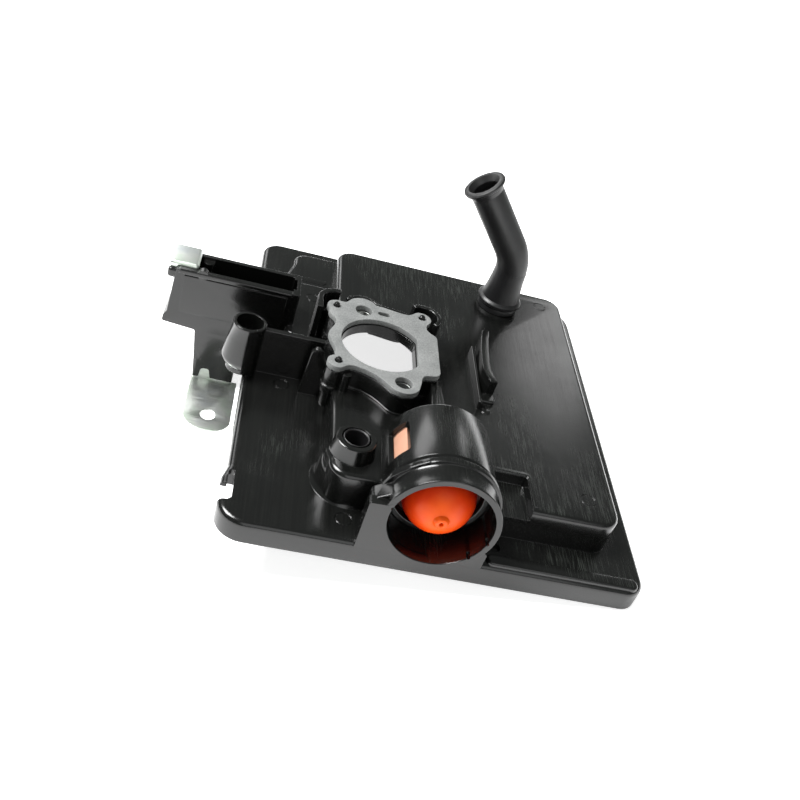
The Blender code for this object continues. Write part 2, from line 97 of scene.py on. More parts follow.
def evaluated(obj):
    """Replaces an object's data with its evaluated mesh in world space."""
    graph = bpy.context.evaluated_depsgraph_get()
    mesh = bpy.data.meshes.new_from_object(obj.evaluated_get(graph))
    mesh.transform(obj.matrix_world)
    name = obj.name
    bpy.data.objects.remove(obj)
    bm = bmesh.new()
    bm.from_mesh(mesh)
    bmesh.ops.remove_doubles(bm, verts=bm.verts, dist=WELD)
    bmesh.ops.recalc_face_normals(bm, faces=bm.faces)
    bm.to_mesh(mesh)
    bm.free()
    solid = bpy.data.objects.new(name, mesh)
    work.objects.link(solid)
    return solid


def arc(centre, radius, start, end, steps):
    """Points on a circle between two angles in degrees."""
    angles = [math.radians(start + (end - start) * i / steps) for i in range(steps + 1)]
    return [(centre[0] + radius * math.cos(a), centre[1] + radius * math.sin(a)) for a in angles]


def circle(centre, radius, steps=ROUND):
    return arc(centre, radius, 0, 360 * (steps - 1) / steps, steps - 1)


def rounded(corners, steps=8):
    """A closed outline through (x, y, radius) corners, each replaced by an arc of its radius."""
    points = []
    for i, (x, y, radius) in enumerate(corners):
        here = Vector((x, y))
        if radius <= 0:
            points.append((x, y))
            continue
        before = (Vector(corners[i - 1][:2]) - here).normalized()
        after = (Vector(corners[(i + 1) % len(corners)][:2]) - here).normalized()
        half = before.angle(after) / 2
        reach = radius / math.tan(half)
        middle = here + (before + after).normalized() * radius / math.sin(half)
        first, last = here + before * reach - middle, here + after * reach - middle
        start = math.degrees(math.atan2(first.y, first.x))
        turn = (math.degrees(math.atan2(last.y, last.x)) - start + 180) % 360 - 180
        points += arc(middle, radius, start, start + turn, steps)
    return points


def rect(left, front, right, back, radius=0.0):
    corners = [(left, front), (right, front), (right, back), (left, back)]
    return rounded([(x, y, radius) for x, y in corners])


def slab(name, outlines, low, high, edge=0.0, segments=3):
    """A plate between two heights. Outlines after the first are holes; edge rounds its rims."""
    curve = bpy.data.curves.new(name, "CURVE")
    curve.dimensions = "2D"
    curve.fill_mode = "BOTH"
    curve.extrude = ((high - low) / 2 - edge) * MM
    curve.bevel_depth = edge * MM
    curve.bevel_resolution = segments
    curve.offset = -edge * MM
    for outline in outlines:
        spline = curve.splines.new("POLY")
        spline.points.add(len(outline) - 1)
        for point, (x, y) in zip(spline.points, outline):
            where = at(x, y, 0)
            point.co = (where.x, where.y, 0, 1)
        spline.use_cyclic_u = True
    obj = bpy.data.objects.new(name, curve)
    work.objects.link(obj)
    obj.location.z = at(0, 0, (low + high) / 2).z
    bpy.context.view_layer.update()
    return evaluated(obj)


def turned(name, profile, x=0.0, y=0.0, z=0.0, turn=None, steps=ROUND):
    """A profile of (radius, height) swept about +Z, turned, then put at a point."""
    mesh = bpy.data.meshes.new(name)
    edges = [(i, i + 1) for i in range(len(profile) - 1)]
    if profile[0][0] > 0:
        edges.append((len(profile) - 1, 0))
    mesh.from_pydata([(r * MM, 0, h * MM) for r, h in profile], edges, [])
    obj = bpy.data.objects.new(name, mesh)
    work.objects.link(obj)
    screw = obj.modifiers.new("turn", "SCREW")
    screw.steps = screw.render_steps = steps
    screw.use_merge_vertices = True
    screw.merge_threshold = WELD
    bpy.context.view_layer.update()
    solid = evaluated(obj)
    matrix = Matrix.Translation(at(x, y, z))
    if turn:
        matrix = matrix @ Matrix.Rotation(math.radians(turn[0]), 4, turn[1])
    solid.data.transform(matrix)
    return solid


def rod(name, radius, x, y, low, high, steps=32):
    return turned(name, [(0, high), (radius, high), (radius, low), (0, low)], x, y, 0, None, steps)


def upright(name, outline, front, back, edge=0.0):
    """A plate drawn in X and Z that stands between two depths."""
    plate = slab(name, [[(x, -z) for x, z in outline]], front, back, edge)
    plate.data.transform(Matrix.Translation(at(0, 0, 0)) @ Matrix.Rotation(math.radians(-90), 4, "X")
                         @ Matrix.Translation(-at(0, 0, 0)))
    return plate


def on_barrel(name, profile, steps=FINE):
    """A turned piece on the barrel's axis. Profile heights are distances behind the mouth."""
    return turned(name, [(r, -depth) for r, depth in profile], BARREL_X, 0, BARREL_Z, (90, "X"), steps)


def along_y(name, radius, x, z, front, back, steps=32):
    return turned(name, [(0, 0), (radius, 0), (radius, front - back), (0, front - back)], x, front, z,
                  (90, "X"), steps)


def ring_sector(centre, inner, outer, start, end):
    """The outline of a curved wall."""
    return arc(centre, outer, start, end, 24) + arc(centre, inner, end, start, 24)


def joined(target, others, operation="UNION"):
    """Applies a chain of exact Booleans and returns the result as a new object."""
    for other in others:
        modifier = target.modifiers.new(other.name, "BOOLEAN")
        modifier.operation = operation
        modifier.solver = "EXACT"
        modifier.object = other
        other.hide_render = True
        other.display_type = "WIRE"
    bpy.context.view_layer.update()
    result = evaluated(target)
    for other in others:
        bpy.data.objects.remove(other)
    return result


def without(target, *others):
    return joined(target, others, "DIFFERENCE")


# ---------------------------------------------------------------- the moulding

def throat_outline(grow=0.0):
    half = math.degrees(math.acos((THROAT_FLAT + grow) / (THROAT_R + grow)))
    return arc(THROAT, THROAT_R + grow, half, 360 - half, 72)


def flange_outline():
    """Lobes around the two studs and ears around the three pegs, joined by short sides."""
    return ([(79.2, 76.6), (79.2, 101.2), (78.6, 102.7), (76.4, 104.4), (75.0, 106.2), (74.8, 108.4),
             (75.3, 110.2)]
            + arc((72.9, 114.5), 4.35, -42, 125, 14)
            + [(68.8, 116.2), (67.0, 115.0), (64.8, 114.8), (61.9, 115.2), (53.8, 116.7)]
            + arc((46.7, 113.2), 6.8, 30, 150, 14)
            + [(39.9, 115.2), (39.2, 114.3), (38.1, 113.9)]
            + arc((35.4, 109.7), 4.4, 78, 215, 14)
            + [(32.0, 104.4), (32.7, 102.6), (34.3, 100.8), (35.1, 98.8), (34.8, 96.2), (33.4, 92.6),
               (32.2, 89.4), (32.3, 87.6), (33.4, 83.8), (35.0, 79.6), (35.4, 77.0), (35.2, 75.0)]
            + arc((36.3, 70.1), 4.1, 110, 290, 14)
            + [(39.0, 67.2), (40.2, 68.5), (41.6, 69.2), (43.5, 69.4), (48.1, 68.3), (51.9, 66.4),
               (55.4, 63.5)]
            + arc((63.2, 65.2), 7.0, 215, 355, 16)
            + [(70.8, 67.4), (71.2, 70.4), (71.9, 72.1), (73.4, 73.0), (76.6, 73.6), (78.4, 74.7)])


def about_throat(outline, scale):
    """An outline grown or shrunk about the throat's middle."""
    return [(THROAT.x + (x - THROAT.x) * scale, THROAT.y + (y - THROAT.y) * scale) for x, y in outline]


def rim_outline():
    """The rim in plan, with round corners and a slight step at the left."""
    return rounded([
        (0.5, 0, 11), (WIDTH, 0, 8), (WIDTH, DEPTH, 14), (2.3, DEPTH, 9), (2.3, 29, 3.2), (0.6, 23, 3.2)])


def tray_shell():
    """Rim, tiers and filter chamber as one skin, open underneath."""
    low_tier = rounded([(12.6, 98, 5), (45, 98, 0), (45, 182.6, 0), (17.4, 182.6, 7), (17.4, 172, 8),
                        (13.0, 157, 8)])
    shell = joined(slab("rim", [rim_outline()], -3, RIM_TOP, 2.4, 6), [
        slab("chamber", [rect(LEFT, FRONT, RIGHT, BACK, 8)], 3, TOP, 2.2, 6),
        slab("low_tier", [low_tier], 3, TIER_LOW, 1.6, 4),
        slab("high_tier", [rect(16.2, 104, 45, 147.6, 5)], 3, TIER_HIGH, 1.6, 4),
        slab("tier_ridge", [rect(21, 158, 33.6, 161, 1.4)], TIER_LOW - 1, TIER_LOW + 0.5, 0.45),
        slab("front_bead", [rect(100.5, 1.2, WIDTH - 3.4, 6.6, 2.6)], RIM_TOP - 3, RIM_TOP + 1.3, 1.2, 5)])
    rim_inset, floor = WALL + 1.2, -6
    return without(
        shell,
        slab("underside", [rect(-40, -40, 220, 240)], -20, 0),
        slab("rim_hollow", [rect(rim_inset + 3, rim_inset, WIDTH - rim_inset, DEPTH - rim_inset, 6)], floor,
             RIM_TOP - WALL),
        slab("chamber_hollow", [rect(LEFT + WALL, FRONT + WALL, RIGHT - WALL, BACK - WALL, 6)],
             floor, TOP - WALL, 1),
        slab("tier_hollow", [rect(20.2, 98 + WALL, 41, 182.6 - WALL, 5)], floor, TIER_LOW - WALL),
        slab("high_hollow", [rect(16.2 + WALL, 104 + WALL, 41, 147.6 - WALL, 3)], floor, TIER_HIGH - WALL),
        slab("hook_notch", [rounded([(3.0, 9.8, 0.6), (5.4, 12.0, 1.0), (5.4, 26.2, 1.1), (3.0, 26.2, 1.1)])],
             -3, 30),
        slab("hook_gap", [rect(-3, 10.6, 3.3, 19.2)], -3, 30),
        slab("under_hook", [rect(-3, 10.2, 5.4, 28.0)], -3, RIM_TOP - WALL),
        rod("tube_seat", 7.0, TUBE_X, TUBE_Y, 15, 30, ROUND))


def side_shelf(body):
    """A shelf to the right of the barrel: sunk, open to the front, with a bead around it."""
    body = joined(body, [slab("shelf_tub", [rect(90.0, 18.3, 118.2, 39.0, 2)], 17.4, TOP - 0.6)])
    body = without(body, slab("shelf_sink", [rect(88, 12, 115.6, 36.4, 1.6)], 20, 32, 0.3))
    bead = rounded([(97, 36.7, 0), (115.8, 36.7, 1.6), (115.8, 20.0, 0), (117.6, 20.0, 0), (117.6, 38.8, 3.4),
                    (97, 38.8, 0)])
    return joined(body, [slab("shelf_bead", [bead], TOP - 1.4, TOP + 0.6, 0.5, 4)])


def flange_pedestal():
    """The carburettor flange with its pegs, the shields around its ears and a lip behind it."""
    pedestal = slab("pedestal", [flange_outline()], TOP - WALL - 0.4, SEAT, 0.4)
    pieces = [slab("pedestal_foot", [about_throat(flange_outline(), 1.02)], TOP - WALL - 0.2, TOP + 0.9, 0.4)]
    for i, ear in enumerate(EARS):
        pieces.append(turned(f"peg{i}", [(0, 3.9), (0.8, 3.9), (1.25, 3.4), (1.3, -1), (0, -1)],
                             ear.x, ear.y, SEAT, None, 24))
    left = (arc((35.7, 112.5), 9.2, 84, 180, 24) + [(26.7, 105.4), (29.2, 105.4)]
            + arc((35.7, 112.5), 6.7, 180, 84, 24))
    lip, shield = SEAT + 2.6, SEAT + 3.5
    pieces += [
        slab("left_shield", [left], 17.0, shield, 0.5),
        slab("right_shield", [ring_sector((73.6, 115.9), 6.2, 8.3, -48, 124)], TOP - 1, shield, 0.5),
        slab("lobe_lip", [ring_sector((46.7, 113.2), 7.2, 8.6, 22, 152)], TOP - 1.2, lip, 0.3),
        slab("top_lip", [[(53.6, 117.3), (66.2, 115.3), (66.4, 116.5), (53.9, 118.7)]],
             TOP - 1.4, lip - 0.3, 0.3),
        slab("lobe_fill", [ring_sector((46.7, 113.2), 6.0, 7.6, 25, 150)], TOP - 1.6, SEAT - 0.6)]
    return joined(pedestal, pieces)


def ribs():
    """Air guides, the rib to the barrel, the post's rib, a tall fin and a pillar."""
    guide = [(102.3, 82.4), (100.9, 86.4), (99.9, 90.4), (99.6, 94.5), (99.8, 100), (100.3, 107),
             (101.1, 114), (102.2, 120.4), (103.8, 122.0), (105.6, 120.8), (104.7, 114), (104.0, 107),
             (103.5, 100), (103.2, 94.5), (103.4, 90.4), (104.2, 86.8), (105.6, 83.0)]
    fin = rounded([(25.4, 8.6, 0), (26.6, 31.0, 2.0), (28.8, 33.2, 1.6), (31.2, 32.0, 1.8), (34.5, 20.0, 3),
                   (39, 16.0, 0), (39, 8.6, 0)], 5)
    return [
        slab("curved_guide", [guide], TOP - 1, SEAT + 0.2, 0.5),
        slab("thin_guide", [rect(97.9, 73.2, 99.5, 113.5, 0.7)], TOP - 1, 29.0, 0.6),
        slab("guide_foot", [rect(98.4, 77.6, 106.2, 83.6, 1.5)], TOP - 1, TOP + 1.8, 0.7),
        turned("gate_mark", [(0, 0.6), (1.2, 0.6), (2.0, 0.3), (2.6, -0.5), (0, -0.5)],
               102.2, 73.0, TOP, None, 24),
        slab("duct_rib", [[(74.4, 42.0), (82.8, 42.0), (80.6, 74.0), (76.2, 74.0)]], TOP - 1, 32.4, 0.7),
        slab("duct_bead", [[(77.6, 42.0), (79.6, 42.0), (79.0, 75.0), (77.8, 75.0)]], 31, 33.1, 0.4),
        slab("post_rib", [rect(3.0, 88.0, 33.6, 90.4)], RIM_TOP - 1, 30.8, 0.4),
        upright("fin", fin, 79.4, 81.8, 0.6),
        turned("pillar", [(0, SEAT - 0.6), (3.2, SEAT - 0.6), (3.2, 15.4), (2.8, 14.0), (1.6, 13.2),
                          (0, 13.0)], 36.2, 70.4, 0, None, 32),
        turned("side_pillar", [(0, SEAT - 0.6), (1.9, SEAT - 0.6), (2.1, 18.0), (1.4, 16.6), (0, 16.2)],
               41.0, 67.2, 0, None, 24)]


def bushing_boss():
    """Tapered ring on a wide round lobe, slightly off its middle."""
    b = BOSS_TOP
    ring = turned("boss", [
        (0, b), (7.3, b), (7.7, b - 0.3), (7.8, b - 0.8), (8.5, b - 6.4), (8.9, b - 7.2), (9.7, b - 7.9),
        (9.8, 19.4), (0, 19.4)], BOSS.x, BOSS.y, 0, None, FINE)
    lobe = turned("lobe", [
        (0, 22.0), (8.6, 22.0), (10.4, 21.6), (11.9, 20.4), (12.7, 18.6), (13.2, 12.2), (13.7, 10.6),
        (14.9, RIM_TOP - 0.1), (14.9, 8), (0, 8)], LOBE.x, LOBE.y, 0, None, FINE)
    neck = slab("lobe_neck", [rect(37.0, 36.0, 52.0, 50.0, 3)], 8.2, 20.6, 1.6, 4)
    return joined(ring, [lobe, neck])


def guide_post():
    """Hollow post at the left edge with a flared gusset on its outer side."""
    t, foot = POST_TOP, RIM_TOP + 0.1
    post = turned("post", [(0, t), (POST_R - 0.3, t), (POST_R, t - 0.3), (POST_R, t - 1.5),
                           (POST_R - 0.4, t - 2.6), (POST_R - 0.5, 7.6), (0, 7.6)],
                  POST.x, POST.y, 0, None, 72)
    flare = turned("flare", [(0, 31.4), (POST_R - 0.2, 31.0), (POST_R + 0.7, 25.6), (POST_R + 1.4, 20.4),
                             (POST_R + 2.0, 16.6), (POST_R + 2.0, 15.6), (POST_R + 1.2, 13.8),
                             (POST_R - 0.4, 11.8), (POST_R - 2.6, 10.3), (0, foot)],
                   POST.x, POST.y, 0, None, 72)
    flare = without(flare, slab("inner_half", [rect(POST.x + 0.4, 70, 30, 110)], 0, 40))
    return without(joined(post, [flare]), slab("outside", [rect(-20, 70, 2.0, 110)], 0, foot + 0.2))


def control_arm():
    """Open-topped channel over the left edge, with a leg that reaches below the rim."""
    left, right, front, back, top, floor = (
        ARM[key] for key in ("left", "right", "front", "back", "top", "floor"))
    side = rounded([
        (left, top, 0.9), (-34.1, 14.2, 1.0), (-35.3, 12.0, 0.8), (-35.6, 9.0, 1.0), (-21.2, floor, 0.8),
        (-19.8, -3.5, 0), (-18.4, -16.9, 0.7), (-15.9, -16.9, 0.7), (-15.3, -12.0, 1.2), (-11.9, -11.8, 1.2),
        (-10.8, -16.6, 0.8), (-0.8, -16.6, 0.8), (-0.8, 2.4, 0), (6, 2.4, 0), (6, floor - 0.2, 0),
        (19, floor - 0.2, 0), (19, top, 0)], 5)
    arm = upright("arm", side, front, back, 0.35)
    arm = joined(arm, [
        slab("face_plate", [rect(-29.2, front - 0.5, right, front + 1)], floor + 8, top - 2.4, 0.25),
        slab("front_bead", [rect(left + 1, front - 0.9, 16, front + 2.1, 0.7)], top - 2.0, top + 0.25, 0.6),
        along_y("bead_bump", 2.3, -21.8, top - 0.6, front - 0.6, front + 2.0, 32)])
    arm = without(
        arm,
        slab("channel", [rect(left + 2.2, front + 2.2, 16.2, back - 2.2, 1)], floor + 2.4, 60),
        slab("right_slot", [rect(14, front + 4, 17.4, back - 4)], 26, 60),
        slab("leg_hollow", [rect(-17.4, front + 2.4, -3.0, 140)], -40, floor - 1.6))
    return joined(arm, [
        rod("channel_lug", 2.4, -20.6, back - 3.0, floor + 2, top - 1.6),
        slab("end_bar", [rect(-36.4, front + 0.6, -25.5, front + 3.6, 1.4)], top - 5.6, top - 1.1, 1.2, 4)])


def primer_barrel():
    """Horizontal cup with a stepped front ring and a side window."""
    back = BARREL_LEN
    barrel = on_barrel("barrel", [
        (0, 0.03), (MOUTH_R - 0.3, 0.03), (MOUTH_R, 0.33), (MOUTH_R, 1.8), (MOUTH_R - 0.5, 8.2),
        (MOUTH_R - 0.2, 8.8), (MOUTH_R + 0.7, 9.2), (MOUTH_R + 0.9, 9.8), (MOUTH_R + 0.9, 11.2),
        (MOUTH_R + 0.5, 11.8), (BODY_R - 1.0, 12.0), (BODY_R - 1.0, 13.4), (BODY_R - 0.4, 14.0),
        (BODY_R, 14.6), (BODY_R - 0.2, back - 1.8), (BODY_R - 0.8, back - 0.6), (BODY_R - 1.9, back),
        (0, back)])
    return without(
        barrel,
        slab("window", [rect(BARREL_X - 30, 20.6, BARREL_X - 15.0, 36.8, 1)], 31.0, 43.5, 0.5))


def barrel_webs():
    """Flat webs flush with the mouth, and the plate behind the ring that runs into the left web."""
    face = 0.06
    left = rounded([(50.8, 1.0, 0), (79, 1.0, 0), (79, 34, 0), (62, 34, 0), (57.2, 30.6, 0),
                    (50.8, 30.4, 1.0)])
    right = [(77, 1.1), (98.4, 1.1), (98.6, 15.0), (97.0, 16.5), (77, 16.5)]
    lip = rounded([(52.4, 8.0, 0), (53.0, 27.0, 3), (57.0, 36.6, 6), (62.0, 41.6, 6), (68.0, 46.0, 0),
                   (78, 42, 0), (78, 8.0, 0)], 5)
    block = rounded([(51.2, 8.0, 0), (51.8, 29.6, 2.0), (58.0, 33.5, 0), (62, 34, 0), (62, 8.0, 0)])
    return [upright("left_web", left, face, 4.2), upright("right_web", right, face + 0.04, 3.4),
            upright("web_block", block, 3.0, 9.6, 0.3), upright("lip_plate", lip, 8.9, 11.5, 0.5)]


def barrel_cuts():
    cuts = [on_barrel("bore", [(0, -2), (BORE_R + 0.32, -2), (BORE_R + 0.32, -0.1), (BORE_R, 0.5),
                               (BORE_R, BARREL_FLOOR), (0, BARREL_FLOOR)])]
    for i, angle in enumerate((168, -14, -42)):
        x = BARREL_X + (BORE_R + 0.1) * math.cos(math.radians(angle))
        z = BARREL_Z + (BORE_R + 0.1) * math.sin(math.radians(angle))
        cuts.append(along_y(f"key{i}", 0.7, x, z, -1, 3.0, 16))
    return cuts


def ejector_marks():
    """Shallow round witness marks of the mould's pins."""
    places = ((18.4, 82.6, RIM_TOP, 3.3), (46.4, 11.1, RIM_TOP, 3.3), (26.9, 136.0, TIER_HIGH, 3.0),
              (140.0, 168.0, TOP, 3.2), (140.0, 30.0, TOP, 3.2))
    return [turned(f"mark{i}", [(r - 0.35, 1), (r, 1), (r, -0.25), (r - 0.35, -0.25)], x, y, z, None, 40)
            for i, (x, y, z, r) in enumerate(places)]


def make_moulding():
    body = side_shelf(tray_shell())
    body = joined(body, [flange_pedestal(), bushing_boss(), guide_post(), control_arm(), *ribs()])
    body = joined(body, [primer_barrel(), *barrel_webs()])
    # the bores, the throat and the hollow under the seat pass through everything around them
    body = without(
        body, *barrel_cuts(), rod("half_pocket", 2.4, 104.5, 11.0, RIM_TOP - 1.2, 30, 32), *ejector_marks(),
        slab("throat", [throat_outline()], 10, 60),
        slab("seat_hollow", [about_throat(flange_outline(), 0.94)], 12, PLATE_UNDER),
        rod("post_bore", POST_BORE, POST.x, POST.y, 5, 60, ROUND),
        rod("boss_bore", BOSS_BORE, BOSS.x, BOSS.y, 14, 60, ROUND),
        *[rod(f"bolt{i}", STUD_HOLE, b.x, b.y, 15, 60, 40) for i, b in enumerate(BOLTS)])
    return joined(body, [rod("throat_pin", 0.9, 61.0, 106.2, 23.2, PLATE_UNDER + 1, 20)])


# ---------------------------------------------------------------- loose pieces

def make_gasket():
    holes = [circle(b, GASKET_STUD_HOLE, 40) for b in BOLTS] + [circle(e, GASKET_PEG_HOLE, 24) for e in EARS]
    oval = arc((57.3, 111.0), 1.25, -90, 90, 10) + arc((54.5, 111.0), 1.25, 90, 270, 10)
    return slab("gasket", [flange_outline(), throat_outline(0.5), oval] + holes, GASKET_LOW,
                GASKET_LOW + GASKET_T, 0.22, 2)


def make_dome():
    """Thin rubber dome with a nub and a vent hole in its middle."""
    r, front, skin = BULB_R, BULB_FRONT, BULB_SKIN
    outer = [(r * math.sin(math.radians(a)), front + r * (1 - math.cos(math.radians(a))))
             for a in range(20, 91, 5)]
    inner = [((r - skin) * math.sin(math.radians(a)),
              front + skin + (r - skin) * (1 - math.cos(math.radians(a))))
             for a in range(90, 9, -8)]
    nub = [(0.7, front - 0.6), (0.9, front - 1.1), (1.5, front - 1.3), (2.2, front - 1.1), (2.7, front - 0.5),
           (3.1, front + 0.2), (3.8, front + 0.5)]
    return on_barrel("dome", nub + outer + [(r, 23.0), (r - skin, 23.0)] + inner + [(0.7, front + skin)])


def make_skirt():
    r, bore, front = 18.9, 14.25, 19.0
    return on_barrel("skirt", [
        (bore, front + 0.4), (bore + 0.4, front), (r - 0.6, front), (r, front + 0.6), (r, 40.6),
        (r - 1.8, 40.6), (r - 1.8, front + 1.8), (bore, front + 1.8)])


def make_ring():
    r = 18.95
    return on_barrel("ring", [(r - 2.0, 15.8), (r - 1.6, 15.6), (r, 15.6), (r, 18.7), (r - 2.8, 18.7),
                              (r - 2.8, 17.4)])


def make_bushing():
    t = BOSS_TOP + 0.1
    return turned("bushing", [(4.35, t - 0.4), (4.6, t - 0.1), (4.75, t), (4.95, t - 0.1), (5.05, t - 0.5),
                              (5.05, t - BUSHING_DEPTH), (4.35, t - BUSHING_DEPTH)],
                  BOSS.x, BOSS.y, 0, None, 64)


def make_sleeve(bolt):
    t = SEAT - 0.2
    return turned("sleeve", [(3.4, t - 0.2), (3.6, t), (3.9, t), (4.05, t - 0.2), (4.05, PLATE_UNDER + 0.2),
                             (3.4, PLATE_UNDER + 0.2)],
                  bolt.x, bolt.y, 0, None, 48)


def tube_centre(low, past_top):
    """Centre line (x, z): upright, one bend, then leaning to the left."""
    lean = math.atan2(TUBE_X - TUBE_TOP_X, TUBE_TOP_Z - BEND_Z)
    radius, steps = 22.0, 20
    reach = radius * math.tan(lean / 2)
    line = [(TUBE_X, low), (TUBE_X, low + 4)]
    for i in range(steps + 1):
        a = lean * i / steps
        line.append((TUBE_X - radius * (1 - math.cos(a)), BEND_Z - reach + radius * math.sin(a)))
    line.append((TUBE_TOP_X - past_top * math.sin(lean), TUBE_TOP_Z + past_top * math.cos(lean)))
    return line, math.degrees(lean)


def sweep(name, radius, line):
    curve = bpy.data.curves.new(name, "CURVE")
    curve.dimensions = "3D"
    curve.bevel_depth = radius * MM
    curve.bevel_resolution = 14
    curve.use_fill_caps = True
    spline = curve.splines.new("POLY")
    spline.points.add(len(line) - 1)
    for point, (x, z) in zip(spline.points, line):
        point.co = (*at(x, TUBE_Y, z), 1)
    obj = bpy.data.objects.new(name, curve)
    work.objects.link(obj)
    bpy.context.view_layer.update()
    return evaluated(obj)


def make_tube():
    line, lean = tube_centre(TUBE_FOOT + 1, -1)
    r = TUBE_R
    foot = turned("foot", [
        (0, 18), (r, 18), (r + 0.25, 13), (r + 0.9, 7), (r + 1.7, 2.8), (r + 2.7, 2.2), (r + 3.1, 1.6),
        (r + 3.1, 0.5), (r + 2.6, 0), (0, 0)], TUBE_X, TUBE_Y, TUBE_FOOT)
    lip = turned("lip", [(0, 0.1), (r + 1.2, 0.1), (r + 1.9, -0.2), (r + 2.2, -0.9), (r + 1.9, -1.7),
                         (r + 0.8, -2.4), (r, -4.8), (0, -4.8)], TUBE_TOP_X, TUBE_Y, TUBE_TOP_Z, (-lean, "Y"))
    mouth = turned("mouth", [(0, 1), (TUBE_BORE + 1.9, 1), (TUBE_BORE + 1.3, -0.4), (TUBE_BORE, -2.6),
                             (0, -2.6)], TUBE_TOP_X, TUBE_Y, TUBE_TOP_Z, (-lean, "Y"))
    tube = joined(sweep("tube", r, line), [foot, lip])
    return without(tube, sweep("bore", TUBE_BORE, tube_centre(TUBE_FOOT - 2, 3)[0]), mouth)


def make_grommet():
    return turned("grommet", [
        (TUBE_BORE, 27.7), (8.8, 27.7), (9.5, 27.3), (9.8, 26.6), (9.8, TOP + 0.2), (6.9, TOP + 0.2),
        (6.9, 20.4), (TUBE_BORE, 20.4)], TUBE_X, TUBE_Y, 0)


def make_clip():
    """Bent zinc cap over the end of the arm, with a back leg and its screw hole."""
    a, top = ARM, ARM["top"] + 1.6
    cap = slab("cap", [rounded([(CLIP_LEFT - 0.6, a["front"] + 2.4, 2.2), (-24.0, a["front"] + 2.4, 1.6),
                                (-24.0, a["back"] + 1.5, 1.6), (CLIP_LEFT - 0.6, a["back"] + 1.5, 2.2)])],
               top - 4.4, top, 1.5, 6)
    inside = slab("inside", [rect(CLIP_LEFT + 0.5, a["front"] + 3.5, -20, a["back"] + 0.4, 0.4)],
                  20, top - 1.1)
    cap = without(cap, inside)
    cap = joined(cap, [slab("back_leg", [rect(-34.0, a["back"] + 0.35, -24.6, a["back"] + 1.45, 0.3)],
                            16, top - 1.4, 0.2)])
    return without(cap, along_y("clip_hole", SCREW_HOLE, *CLIP_SCREW, a["back"] - 1, a["back"] + 4))


def make_bracket():
    """Bent zinc angle under the arm's leg, with a round foot and a bolt hole."""
    y = ARM["front"] + 2.7
    foot = slab("foot", [rounded([(-19.0, 78.0, 9), (2.2, 78.0, 9), (2.2, y + 1, 0.4), (-19.0, y + 1, 0.4)],
                                 14),
                         circle((-8.4, 88.0), 3.2, 40)], BRACKET_FOOT, BRACKET_FOOT + 1.0, 0.2, 2)
    flange = slab("flange", [rect(-18.2, y, -3.2, y + 1, 0.2)], BRACKET_FOOT + 0.4, -3.0, 0.2)
    return without(joined(foot, [flange]), along_y("flange_hole", SCREW_HOLE, *BRACKET_SCREW, y - 1, y + 2))


def make_screw(x, z, seat):
    """Pan head with a cross recess, facing the back."""
    screw = turned("screw", [(0, 2.2), (1.6, 2.15), (2.6, 1.8), (3.4, 1.0), (3.75, 0.1), (3.6, 0), (1.9, 0),
                             (1.9, -1.0), (0, -1.0)], x, seat + 0.3, z, (-90, "X"), 48)
    slots = []
    for i, (width, height) in enumerate(((0.7, 3.4), (3.4, 0.7))):
        slots.append(slab(f"slot{i}", [rect(x - width / 2, seat + 1.7, x + width / 2, seat + 4)],
                          z - height / 2, z + height / 2))
    return without(screw, *slots)


# ---------------------------------------------------------------- materials

def node(tree, kind, **values):
    made = tree.nodes.new(kind)
    for key, value in values.items():
        if key in made.inputs:
            made.inputs[key].default_value = value
        else:
            setattr(made, key, value)
    return made


def base_material(name, colour, roughness, metallic=0.0):
    mat = bpy.data.materials.new(name)
    mat.use_nodes = True
    shader = mat.node_tree.nodes["Principled BSDF"]
    shader.inputs["Base Color"].default_value = (*colour, 1)
    shader.inputs["Roughness"].default_value = roughness
    shader.inputs["Metallic"].default_value = metallic
    return mat, mat.node_tree, shader


def noise(tree, scale, detail, stretch=(1, 1, 1), roughness=0.5):
    """Noise over object space, stretched along the axes."""
    place = node(tree, "ShaderNodeTexCoord")
    mapping = node(tree, "ShaderNodeMapping")
    mapping.inputs["Scale"].default_value = stretch
    tree.links.new(place.outputs["Object"], mapping.inputs["Vector"])
    texture = node(tree, "ShaderNodeTexNoise", Scale=scale, Detail=detail, Roughness=roughness)
    tree.links.new(mapping.outputs["Vector"], texture.inputs["Vector"])
    return texture.outputs["Fac"]


def spread(tree, value, low, high, to_low, to_high):
    """Maps a value from one range to another, clamped."""
    fit = node(tree, "ShaderNodeMapRange")
    for key, number in (("From Min", low), ("From Max", high), ("To Min", to_low), ("To Max", to_high)):
        fit.inputs[key].default_value = number
    tree.links.new(value, fit.inputs["Value"])
    return fit.outputs["Result"]


def product(tree, a, b):
    made = node(tree, "ShaderNodeMath", operation="MULTIPLY")
    tree.links.new(a, made.inputs[0])
    tree.links.new(b, made.inputs[1])
    return made.outputs[0]


def add(tree, a, b):
    made = node(tree, "ShaderNodeMath", operation="ADD")
    tree.links.new(a, made.inputs[0])
    tree.links.new(b, made.inputs[1])
    return made.outputs[0]


def colours(tree, value, stops):
    ramp = node(tree, "ShaderNodeValToRGB")
    elements = ramp.color_ramp.elements
    while len(elements) < len(stops):
        elements.new(0.5)
    for element, (position, colour) in zip(elements, stops):
        element.position = position
        element.color = (*colour, 1)
    tree.links.new(value, ramp.inputs["Fac"])
    return ramp.outputs["Color"]


def bump(tree, shader, height, strength, distance, soft_edge=None):
    made = node(tree, "ShaderNodeBump", Strength=strength, Distance=distance)
    tree.links.new(height, made.inputs["Height"])
    if soft_edge:
        bevel = node(tree, "ShaderNodeBevel", Radius=soft_edge, samples=4)
        tree.links.new(bevel.outputs["Normal"], made.inputs["Normal"])
    tree.links.new(made.outputs["Normal"], shader.inputs["Normal"])


